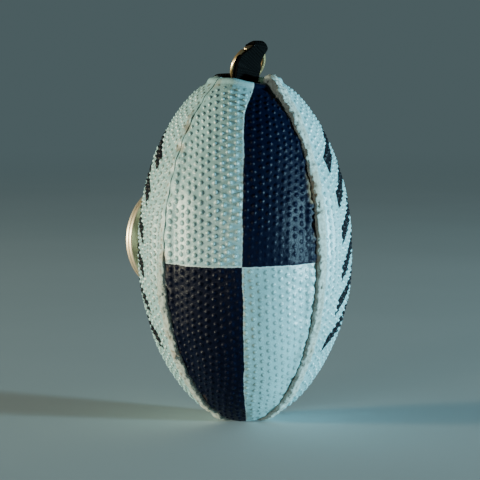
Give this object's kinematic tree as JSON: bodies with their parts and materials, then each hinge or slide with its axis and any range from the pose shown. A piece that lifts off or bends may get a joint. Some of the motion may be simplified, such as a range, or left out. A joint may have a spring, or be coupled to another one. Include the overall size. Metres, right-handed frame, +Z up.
{
  "type": "rugby ball",
  "caption": "Miniature stuffed rugby ball with sewn grip-textured panels, a webbing loop, a jump ring, a strap and a split key ring.",
  "frame": {"origin": "middle of the flat foot at the ball's lower point, where the seams meet", "axes": "+Z up the ball's long axis towards the webbing loop; +Y towards the seam that the strap and the split ring hang over; every pivot turns about +X"},
  "size_m": [0.0488, 0.0543, 0.0891],
  "materials": {
    "quartered_skin": "semi-gloss coated synthetic leather, printed in white and navy quarters, raised grip dots",
    "white_skin": "semi-gloss coated synthetic leather, white, raised grip dots",
    "lining": "woven cotton backing",
    "stuffing": "polyester fibre",
    "thread": "waxed polyester thread",
    "webbing": "black woven polyester",
    "gold": "bright gold plate"
  },
  "bodies": {
    "ball": {"front_panel": "quartered_skin", "back_panel": "quartered_skin", "left_panel": "white_skin", "right_panel": "white_skin", "front_lining": "lining", "back_lining": "lining", "left_lining": "lining", "right_lining": "lining", "stuffing": "stuffing", "front_right_seam_thread": "thread", "back_right_seam_thread": "thread", "back_left_seam_thread": "thread", "front_left_seam_thread": "thread", "mouth_cover": "lining", "anchor_loop": "webbing", "anchor_whipping": "webbing"},
    "jump_ring": {"jump_ring": "gold"},
    "strap": {"strap_neck": "webbing", "strap": "webbing", "strap_upper_tack": "webbing", "strap_lower_tack": "webbing"},
    "split_ring": {"split_ring": "gold"}
  },
  "joints": [
    {"name": "jump_ring_swing", "type": "hinge", "parent": "ball", "child": "jump_ring", "pos_m": [0.0012, -0.0016, 0.0873], "axis": [1, 0, 0], "range_deg": [0, 120]},
    {"name": "strap_swing", "type": "hinge", "parent": "jump_ring", "child": "strap", "pos_m": [0.0012, 0.0022, 0.07914], "axis": [1, 0, 0], "range_deg": [0, 60]},
    {"name": "split_ring_swing", "type": "hinge", "parent": "strap", "child": "split_ring", "pos_m": [-0.0005, 0.0271, 0.0525], "axis": [1, 0, 0], "range_deg": [0, 120]}
  ]
}
